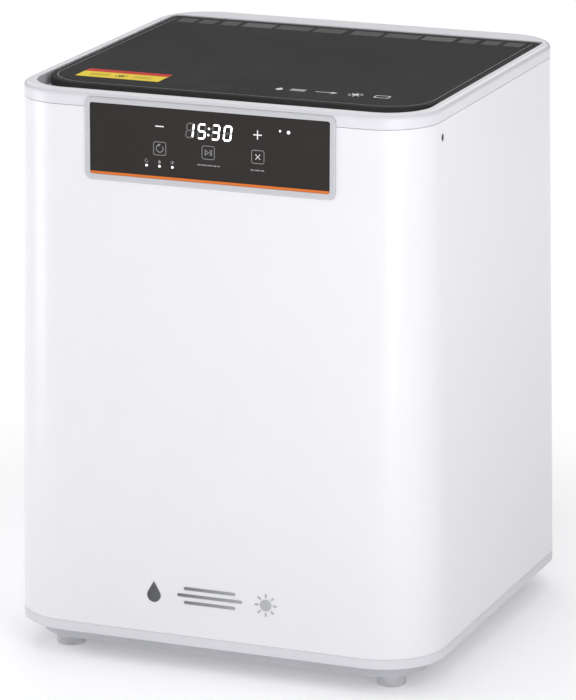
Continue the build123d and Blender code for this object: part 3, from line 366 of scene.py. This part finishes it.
NODE_MATERIAL = {
    "chamber_floor": "liner", "housing_shell": "shell", "top_rim": "rim", "base_tray": "band",
    "base_plate": "base", "feet": "foot", "foot_screws": "screw", "panel_bezel": "bezel",
    "panel_glass": "panel", "accent_strip": "accent", "display_module": "display",
    "key_pads": "copper", "panel_board": "board",
    "emblem": "emblem", "chamber_liner": "liner", "mouth_seal": "seal", "led_covers": "cover",
    "led_strips": "strip", "uv_leds": "lens", "heat_sinks": "sink", "drive_motor": "motor",
    "motor_bracket": "zinc", "motor_screws": "screw", "drive_bush": "brass", "drive_shaft": "shaft",
    "turntable": "turntable", "drive_magnets": "magnet", "wash_bucket": "bucket",
    "bucket_pivots": "shaft", "bucket_handle": "stainless", "handle_grip": "grip",
    "wash_basket": "stainless", "impeller": "impeller", "impeller_magnets": "magnet",
    "lid_cover": "lid", "lid_frame": "lid_frame", "hinge_pins": "shaft",
    "lid_magnet": "magnet", "lid_sensor": "inlet", "rear_panel": "rear",
    "rear_screws": "screw_black", "fan_grille": "grille", "fan_frame": "fan", "fan_rotor": "fan",
    "power_inlet": "inlet", "inlet_pins": "brass", "switch_body": "inlet", "power_rocker": "rocker",
    "power_supply": "supply", "standoffs": "brass", "main_board": "board", "board_parts": "chip",
    "wiring_loom": "wire", "supply_lead": "wire",
}

for node_name, node_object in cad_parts.items():
    node_object.data.materials.clear()
    node_object.data.materials.append(M[NODE_MATERIAL[node_name]])


# ---------------------------------------------------------------- flat raised pieces
def circle(x, y, radius, count=28, start=0.0, sweep=math.tau):
    steps = count if sweep >= math.tau else count + 1
    span = sweep / count
    return [
        (x + radius * math.cos(start + span * k), y + radius * math.sin(start + span * k))
        for k in range(steps)
    ]


def bar(x, y, width, height, turn=0.0):
    c, s = math.cos(turn), math.sin(turn)
    corners = [(-width, -height), (width, -height), (width, height), (-width, height)]
    return [(x + (a * c - b * s) / 2, y + (a * s + b * c) / 2) for a, b in corners]


def rounded(x, y, width, height, radius, count=6):
    points = []
    for sx, sy, start in ((1, 1, 0.0), (-1, 1, 0.25), (-1, -1, 0.5), (1, -1, 0.75)):
        cx, cy = x + sx * (width / 2 - radius), y + sy * (height / 2 - radius)
        for k in range(count + 1):
            angle = math.tau * (start + 0.25 * k / count)
            points.append((cx + radius * math.cos(angle), cy + radius * math.sin(angle)))
    return points


def drop(x, y, size):
    """Outline of a drop of that height, tip upwards."""
    radius = size * 0.34
    centre = y - size * 0.16
    points = circle(x, centre, radius, 20, math.radians(150), math.radians(240))
    points.append((x, y + size / 2))
    return points


def arc_band(x, y, radius, width, start, sweep):
    outer = circle(x, y, radius + width / 2, 24, start, sweep)
    inner = circle(x, y, radius - width / 2, 24, start, sweep)
    return outer + inner[::-1]


class Flat:
    """Collects thin raised shapes drawn in millimetres on a surface and makes one mesh piece of them."""

    def __init__(self, name, place, height_mm=0.06):
        self.name, self.place, self.height = name, place, height_mm
        self.bm = bmesh.new()

    def solid(self, outline, slot=0, lift=0.0):
        low = [self.bm.verts.new(self.place(x, y, lift)) for x, y in outline]
        high = [self.bm.verts.new(self.place(x, y, lift + self.height)) for x, y in outline]
        faces = [self.bm.faces.new(high), self.bm.faces.new(low[::-1])]
        count = len(outline)
        for k in range(count):
            n = (k + 1) % count
            faces.append(self.bm.faces.new((low[k], low[n], high[n], high[k])))
        for face in faces:
            face.material_index = slot
        return self

    def ring(self, outer, inner):
        loops = []
        for outline, lift in ((outer, 0.0), (outer, self.height), (inner, self.height), (inner, 0.0)):
            loops.append([self.bm.verts.new(self.place(x, y, lift)) for x, y in outline])
        count = len(outer)
        for a, b in ((0, 1), (1, 2), (2, 3), (3, 0)):
            for k in range(count):
                n = (k + 1) % count
                self.bm.faces.new((loops[a][k], loops[a][n], loops[b][n], loops[b][k]))
        return self

    def sun(self, x, y, disc, reach, ray_size, count=24, slot=0, lift=0.0):
        """A disc with eight rays round it, whose middles are at a distance from the disc's middle."""
        self.solid(circle(x, y, disc, count), slot, lift)
        for ray in range(8):
            angle = math.tau * ray / 8
            ray_x, ray_y = x + reach * math.cos(angle), y + reach * math.sin(angle)
            self.solid(bar(ray_x, ray_y, *ray_size, angle), slot, lift)
        return self

    def finish(self, materials, body):
        bmesh.ops.recalc_face_normals(self.bm, faces=self.bm.faces)
        mesh = bpy.data.meshes.new(self.name)
        self.bm.to_mesh(mesh)
        self.bm.free()
        for material in materials:
            mesh.materials.append(M[material])
        piece = bpy.data.objects.new(self.name, mesh)
        scene.collection.objects.link(piece)
        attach(piece, body)
        return piece


# The panel's own axes: x to the right, y up the drafted front from the seam, height outwards from the
# glass, which stands proud of the front. Marks float a hair above the surface that carries them.
GROWTH, WALL_HEIGHT = 7.45, 440.0
TOP_FRONT = -179.5
SEAM = 473.5
lean = math.atan2(GROWTH, WALL_HEIGHT)
GLASS_PROUD = 0.7
GAP = 0.02


def on_panel(x, y, height):
    out = GLASS_PROUD + GAP + height
    return Vector(
        (
            x * MM,
            (TOP_FRONT + y * math.sin(lean) - out * math.cos(lean)) * MM,
            (SEAM + y * math.cos(lean) + out * math.sin(lean)) * MM,
        )
    )


lid_low, lid_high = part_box("lid_cover")


def on_lid(x, y, height):
    return Vector((x * MM, y * MM, lid_high.z + (GAP + height) * MM))


# ---------------------------------------------------------------- control panel graphics
DIGIT_WIDTH, DIGIT_HEIGHT, STROKE, SLANT = 7.4, 13.2, 1.6, math.tan(math.radians(7))
DIGIT_Y = -12.4
BAR_GAP = 0.14
COLON_X, COLON_REACH, COLON_DOT = -0.2, 2.6, 0.95
SEGMENTS = {"1": "bc", "5": "afgcd", "3": "abgcd", "0": "abcdef"}


def segment(letter, x):
    """Outline of one lit bar of a seven-bar digit whose middle is at x."""
    half_w, half_h, t = DIGIT_WIDTH / 2 - STROKE / 2, DIGIT_HEIGHT / 2 - STROKE / 2, STROKE / 2
    ends = {
        "a": ((-half_w, half_h), (half_w, half_h)),
        "b": ((half_w, half_h), (half_w, 0)),
        "c": ((half_w, 0), (half_w, -half_h)),
        "d": ((half_w, -half_h), (-half_w, -half_h)),
        "e": ((-half_w, -half_h), (-half_w, 0)),
        "f": ((-half_w, 0), (-half_w, half_h)),
        "g": ((-half_w, 0), (half_w, 0)),
    }[letter]
    start, end = Vector(ends[0]), Vector(ends[1])
    along = (end - start).normalized()
    across = Vector((-along.y, along.x))
    start, end = start + along * BAR_GAP, end - along * BAR_GAP
    points = [
        start, start + (along - across) * t, end - (along + across) * t,
        end, end - (along - across) * t, start + (along + across) * t,
    ]
    return [(x + p.x + p.y * SLANT, DIGIT_Y + p.y) for p in points]


digits = Flat("panel_digits", on_panel)
ghosts = Flat("panel_ghost_bars", on_panel, 0.03)
for digit, digit_x in (("1", -16.6), ("5", -6.2), ("3", 5.9), ("0", 16.3)):
    for letter in "abcdefg":
        target = digits if letter in SEGMENTS[digit] else ghosts
        target.solid(segment(letter, digit_x))
for colon_y in (COLON_REACH, -COLON_REACH):
    digits.solid(circle(COLON_X + colon_y * SLANT, DIGIT_Y + colon_y, COLON_DOT, 20))
digits.finish(["lit"], "housing")
ghosts.finish(["ink_faint"], "housing")

# Three framed touch keys: repeat, start and pause, and cancel.
KEY_LEFT, KEY_MIDDLE, KEY_RIGHT, KEY_Y = -43.1, -0.6, 42.5, -29.5
FRAME_OUTSIDE, FRAME_INSIDE = (11.2, 11.2, 2.0), (10.3, 10.3, 1.55)
keys = Flat("panel_keys", on_panel, 0.04)
for key_x in (KEY_LEFT, KEY_MIDDLE, KEY_RIGHT):
    keys.ring(rounded(key_x, KEY_Y, *FRAME_OUTSIDE), rounded(key_x, KEY_Y, *FRAME_INSIDE))
keys.solid(arc_band(KEY_LEFT, KEY_Y, 3.0, 0.6, math.radians(120), math.radians(275)))
keys.solid([(-44.9, -26.0), (-42.2, -25.7), (-43.8, -27.9)])
keys.ring(
    [(-3.5, -27.0), (-3.5, -32.0), (0.2, KEY_Y)],
    [(-3.0, -27.95), (-3.0, -31.05), (-0.7, KEY_Y)],
)
for pause_x in (1.1, 2.5):
    keys.solid(bar(pause_x, KEY_Y, 0.55, 5.0))
keys.finish(["ink"], "housing")

# Minus, plus and the cross of the cancel key.
SIGN_LENGTH, SIGN_WIDTH = 7.4, 0.9
PLUS_X, PLUS_Y, PLUS_ARM, PLUS_OFFSET = 42.2, -11.5, 3.2, 2.1
CROSS_ARM, CROSS_WIDTH, CROSS_OFFSET, CROSS_HEART = 2.5, 0.48, 1.65, 0.6
bright = Flat("panel_signs", on_panel, 0.04)
bright.solid(bar(-43.2, -11.2, SIGN_LENGTH, SIGN_WIDTH))
bright.solid(bar(PLUS_X, PLUS_Y, SIGN_LENGTH, SIGN_WIDTH))
bright.solid(bar(PLUS_X, PLUS_Y + PLUS_OFFSET, SIGN_WIDTH, PLUS_ARM))
bright.solid(bar(PLUS_X, PLUS_Y - PLUS_OFFSET, SIGN_WIDTH, PLUS_ARM))
for turn in (math.radians(45), math.radians(-45)):
    for shift in (CROSS_OFFSET, -CROSS_OFFSET):
        arm_x, arm_y = KEY_RIGHT + shift * math.cos(turn), KEY_Y + shift * math.sin(turn)
        bright.solid(bar(arm_x, arm_y, CROSS_ARM, CROSS_WIDTH, turn))
bright.solid(bar(KEY_RIGHT, KEY_Y, CROSS_HEART, CROSS_HEART, math.radians(45)))
bright.finish(["ink_bright"], "housing")

# Three lamps under the left key and two at the panel's right end.
LAMP_X, LAMP_Y = (-54.7, -43.3, -32.0), -44.1
lamps = Flat("panel_lamps", on_panel, 0.05)
for lamp_x in LAMP_X:
    lamps.solid(circle(lamp_x, LAMP_Y, 1.05))
lamps.solid(circle(61.6, -6.8, 0.9))
lamps.solid(circle(68.9, -7.4, 1.35))
lamps.finish(["lamp"], "housing")

# Small pictures over the three lamps, and plain dashes under the two right keys.
PICTURE_Y = -40.2
DASH_HEIGHT = 0.85
DASHES_MIDDLE = ((-8.6, 3.0), (-4.4, 4.2), (0.6, 4.4), (5.2, 3.2), (8.6, 2.0))
DASHES_RIGHT = ((37.7, 3.0), (42.2, 4.6), (46.6, 2.6))
small = Flat("panel_pictures", on_panel, 0.03)
small.solid(arc_band(LAMP_X[0], PICTURE_Y, 1.25, 0.4, math.radians(60), math.radians(300)))
small.solid(drop(LAMP_X[1], PICTURE_Y, 3.2))
small.sun(LAMP_X[2], PICTURE_Y, 0.8, 1.5, (0.7, 0.28), 16)
for dash_y, dashes in ((-40.0, DASHES_MIDDLE), (-40.5, DASHES_RIGHT)):
    for dash_x, width in dashes:
        small.solid(bar(dash_x, dash_y, width, DASH_HEIGHT))
small.finish(["ink"], "housing")

# ---------------------------------------------------------------- lid sticker and marks
# A yellow sticker with a red band, a plain sun and dashes in place of a warning.
STICKER_LEFT, STICKER_RIGHT, STICKER_BACK, STICKER_FRONT = -145.7, -71.0, -88.4, -118.4
STICKER_THICK, PRINT_THICK, PRINT_LIFT = 0.12, 0.03, 0.13
BAND_DEPTH = 9.8
mid_x, mid_y = (STICKER_LEFT + STICKER_RIGHT) / 2, (STICKER_FRONT + STICKER_BACK) / 2
sticker_width, sticker_depth = STICKER_RIGHT - STICKER_LEFT, STICKER_BACK - STICKER_FRONT
sign_y = STICKER_FRONT + 10.0
sticker = Flat("lid_sticker", on_lid, STICKER_THICK)
sticker.solid(rounded(mid_x, mid_y, sticker_width, sticker_depth, 1.2))
sticker.height = PRINT_THICK
red_band = rounded(mid_x, STICKER_BACK - BAND_DEPTH / 2, sticker_width - 0.2, BAND_DEPTH - 0.2, 0.9)
sticker.solid(red_band, 1, PRINT_LIFT)
sticker.sun(mid_x, sign_y, 2.6, 4.6, (2.2, 1.0), 24, 2, PRINT_LIFT)
for row_y in (sign_y + 3.0, sign_y, sign_y - 3.0):
    for side in (-1, 1):
        sticker.solid(bar(mid_x + side * 19.0, row_y, 17.0, 0.5), 2, PRINT_LIFT)
sticker.finish(["label_yellow", "label_red", "label_black"], "lid")

# A row of pictures near the front edge: drop, waves, arrow, sun and frame.
MARK_Y = -107.0
marks = Flat("lid_marks", on_lid, 0.04)
marks.solid(drop(32.0, MARK_Y, 9.0))
for wave_row in (-2.6, 0.0, 2.6):
    marks.solid(rounded(48.0, MARK_Y + wave_row, 13.0, 1.2, 0.5))
marks.solid(bar(70.0, MARK_Y, 14.0, 1.3))
marks.solid([(77.0, MARK_Y - 3.2), (82.5, MARK_Y), (77.0, MARK_Y + 3.2)])
marks.sun(98.0, MARK_Y, 3.0, 5.4, (2.4, 1.1))
marks.ring(rounded(121.0, MARK_Y, 13.0, 9.0, 1.6), rounded(121.0, MARK_Y, 10.8, 6.8, 0.9))
marks.finish(["mark_white"], "lid")

# Patches along the back edge of the lid, over the slots of its frame, painted lighter to stand in for the
# light seen through the lid there: middle and width of each on one side, with one painted brighter than the
# rest.
WINDOWS = ((17, 27), (50, 31), (83, 28), (110, 16), (131, 15), (151, 16))
BRIGHTER_PAINTED_WINDOW = 83
WINDOW_MIDDLE, WINDOW_DEPTH = 131.5, 17.0
windows = Flat("lid_painted_light_windows", on_lid, 0.02)
for side in (-1, 1):
    for window_x, window_width in WINDOWS:
        outline = rounded(side * window_x, WINDOW_MIDDLE, window_width, WINDOW_DEPTH, 1.5)
        windows.solid(outline, 1 if window_x == BRIGHTER_PAINTED_WINDOW else 0)
windows.finish(["window", "window_painted_brighter"], "lid")

# Thin strip just inside the lid's front and side edges: a painted highlight standing in for the shine along
# the lid's rounded top edge.
LINE_INSET, LINE_WIDTH, LINE_RADIUS, LINE_BACK = 5.0, 0.9, 37.0, 138.0
lid_half, lid_front = lid_high.x / MM, lid_low.y / MM


def lid_line_path(inset):
    """Open path from the back left, round the two front corners, to the back right."""
    radius = LINE_RADIUS + LINE_INSET - inset
    edge_x, edge_y = lid_half - inset, lid_front + inset
    centre_y = edge_y + radius
    path = [(-edge_x, LINE_BACK)]
    path += circle(-(edge_x - radius), centre_y, radius, 16, math.pi, math.pi / 2)
    path += circle(edge_x - radius, centre_y, radius, 16, 1.5 * math.pi, math.pi / 2)
    path.append((edge_x, LINE_BACK))
    return path


line = Flat("lid_edge_painted_highlight", on_lid, 0.05)
outer_path, inner_path = lid_line_path(LINE_INSET), lid_line_path(LINE_INSET + LINE_WIDTH)
for k in range(len(outer_path) - 1):
    line.solid([outer_path[k], outer_path[k + 1], inner_path[k + 1], inner_path[k]])
line.finish(["lid_edge_painted_highlight"], "lid")


# Dark window of the sensor, set back in the small hole high on the right side.
SIDE_TOP = 180.75
HOLE_Y, HOLE_DROP, WINDOW_RADIUS, WINDOW_SET_BACK = -128.5, 13.0, 3.2, 0.9


def on_right(x, y, height):
    out = height - WINDOW_SET_BACK
    return Vector(
        (
            (SIDE_TOP - y * math.sin(lean) + out * math.cos(lean)) * MM,
            x * MM,
            (SEAM + y * math.cos(lean) + out * math.sin(lean)) * MM,
        )
    )


sensor = Flat("sensor_window", on_right, 0.3)
sensor.solid(circle(HOLE_Y, -HOLE_DROP, WINDOW_RADIUS, 32))
sensor.finish(["inlet"], "housing")


# ---------------------------------------------------------------- floor, lights and camera
def paper_floor(half):
    """A flat sheet of studio paper, wide enough to fill the view from any side."""
    bm = bmesh.new()
    corners = ((-half, -half), (half, -half), (half, half), (-half, half))
    bm.faces.new([bm.verts.new((x, y, 0.0)) for x, y in corners])
    mesh = bpy.data.meshes.new("studio_floor")
    bm.to_mesh(mesh)
    bm.free()
    mesh.materials.append(floor_material("studio_paper"))
    floor = bpy.data.objects.new("studio_floor", mesh)
    scene.collection.objects.link(floor)


paper_floor(14.0)


def towards(azimuth, elevation, distance, target):
    a, e = math.radians(azimuth), math.radians(elevation)
    way = Vector((math.sin(a) * math.cos(e), -math.cos(a) * math.cos(e), math.sin(e)))
    return Vector(target) + way * distance


def softbox(name, azimuth, elevation, distance, width, height, power, target=(0, 0, 0.25)):
    """A rectangular light aimed at a point, unseen by the camera; angles in degrees, sizes in metres."""
    data = bpy.data.lights.new(name, "AREA")
    data.shape = "RECTANGLE"
    data.size, data.size_y = width, height
    data.energy = power
    lamp = bpy.data.objects.new(name, data)
    lamp.location = towards(azimuth, elevation, distance, target)
    lamp.rotation_euler = (Vector(target) - lamp.location).to_track_quat("-Z", "Y").to_euler()
    lamp.visible_camera = False
    scene.collection.objects.link(lamp)


softbox("near_right_front", 30, 8, 0.75, 0.30, 1.1, 2.0, (0.17, -0.17, 0.25))
softbox("left_strip", -62, 6, 1.3, 0.50, 1.4, 6.5)
softbox("key_right_front", 48, 22, 1.7, 0.7, 1.8, 6.2)
softbox("overhead", 20, 82, 2.2, 2.4, 2.4, 16.0)
softbox("rear_fill", 200, 35, 2.4, 2.4, 1.2, 17.5)

# Soft light from all round, and paper white wherever the camera looks past the floor.
world = bpy.data.worlds.new("studio_world")
scene.world = world
world.use_nodes = True
studio = world.node_tree
sky = studio.nodes["Background"]
sky.inputs["Color"].default_value = (0.97, 0.98, 1.0, 1.0)
sky.inputs["Strength"].default_value = 0.31
paper = studio.nodes.new("ShaderNodeBackground")
paper.inputs["Color"].default_value = (0.95, 0.95, 0.955, 1.0)
seen = studio.nodes.new("ShaderNodeLightPath")
choose = studio.nodes.new("ShaderNodeMixShader")
studio.links.new(seen.outputs["Is Camera Ray"], choose.inputs["Fac"])
studio.links.new(sky.outputs["Background"], choose.inputs[1])
studio.links.new(paper.outputs["Background"], choose.inputs[2])
studio.links.new(choose.outputs["Shader"], studio.nodes["World Output"].inputs["Surface"])
scene.view_settings.view_transform = "Standard"
scene.view_settings.look = "None"

# The camera looks from the front right and a little above.
AZIMUTH, ELEVATION, ROLL = math.radians(21.867), math.radians(15.336), math.radians(-0.161)
DISTANCE = 3.85855
AIM_RIGHT, AIM_UP, AIM_RAISE = -0.00474, 0.21214, 0.0135
LENS, SENSOR = 229.2, 36.0
back = Vector(
    (
        math.sin(AZIMUTH) * math.cos(ELEVATION),
        -math.cos(AZIMUTH) * math.cos(ELEVATION),
        math.sin(ELEVATION),
    )
)
level_right = Vector((math.cos(AZIMUTH), math.sin(AZIMUTH), 0.0))
level_up = back.cross(level_right)
right = level_right * math.cos(ROLL) + level_up * math.sin(ROLL)
up = level_up * math.cos(ROLL) - level_right * math.sin(ROLL)
position = right * AIM_RIGHT + up * AIM_UP + back * DISTANCE + Vector((0, 0, AIM_RAISE))
camera_data = bpy.data.cameras.new("camera")
camera_data.lens = LENS
camera_data.sensor_width = SENSOR
camera_data.clip_end = 50.0
camera = bpy.data.objects.new("camera", camera_data)
turn = Matrix((right, up, back)).transposed()
camera.matrix_world = Matrix.Translation(position) @ turn.to_4x4()
scene.collection.objects.link(camera)
scene.camera = camera
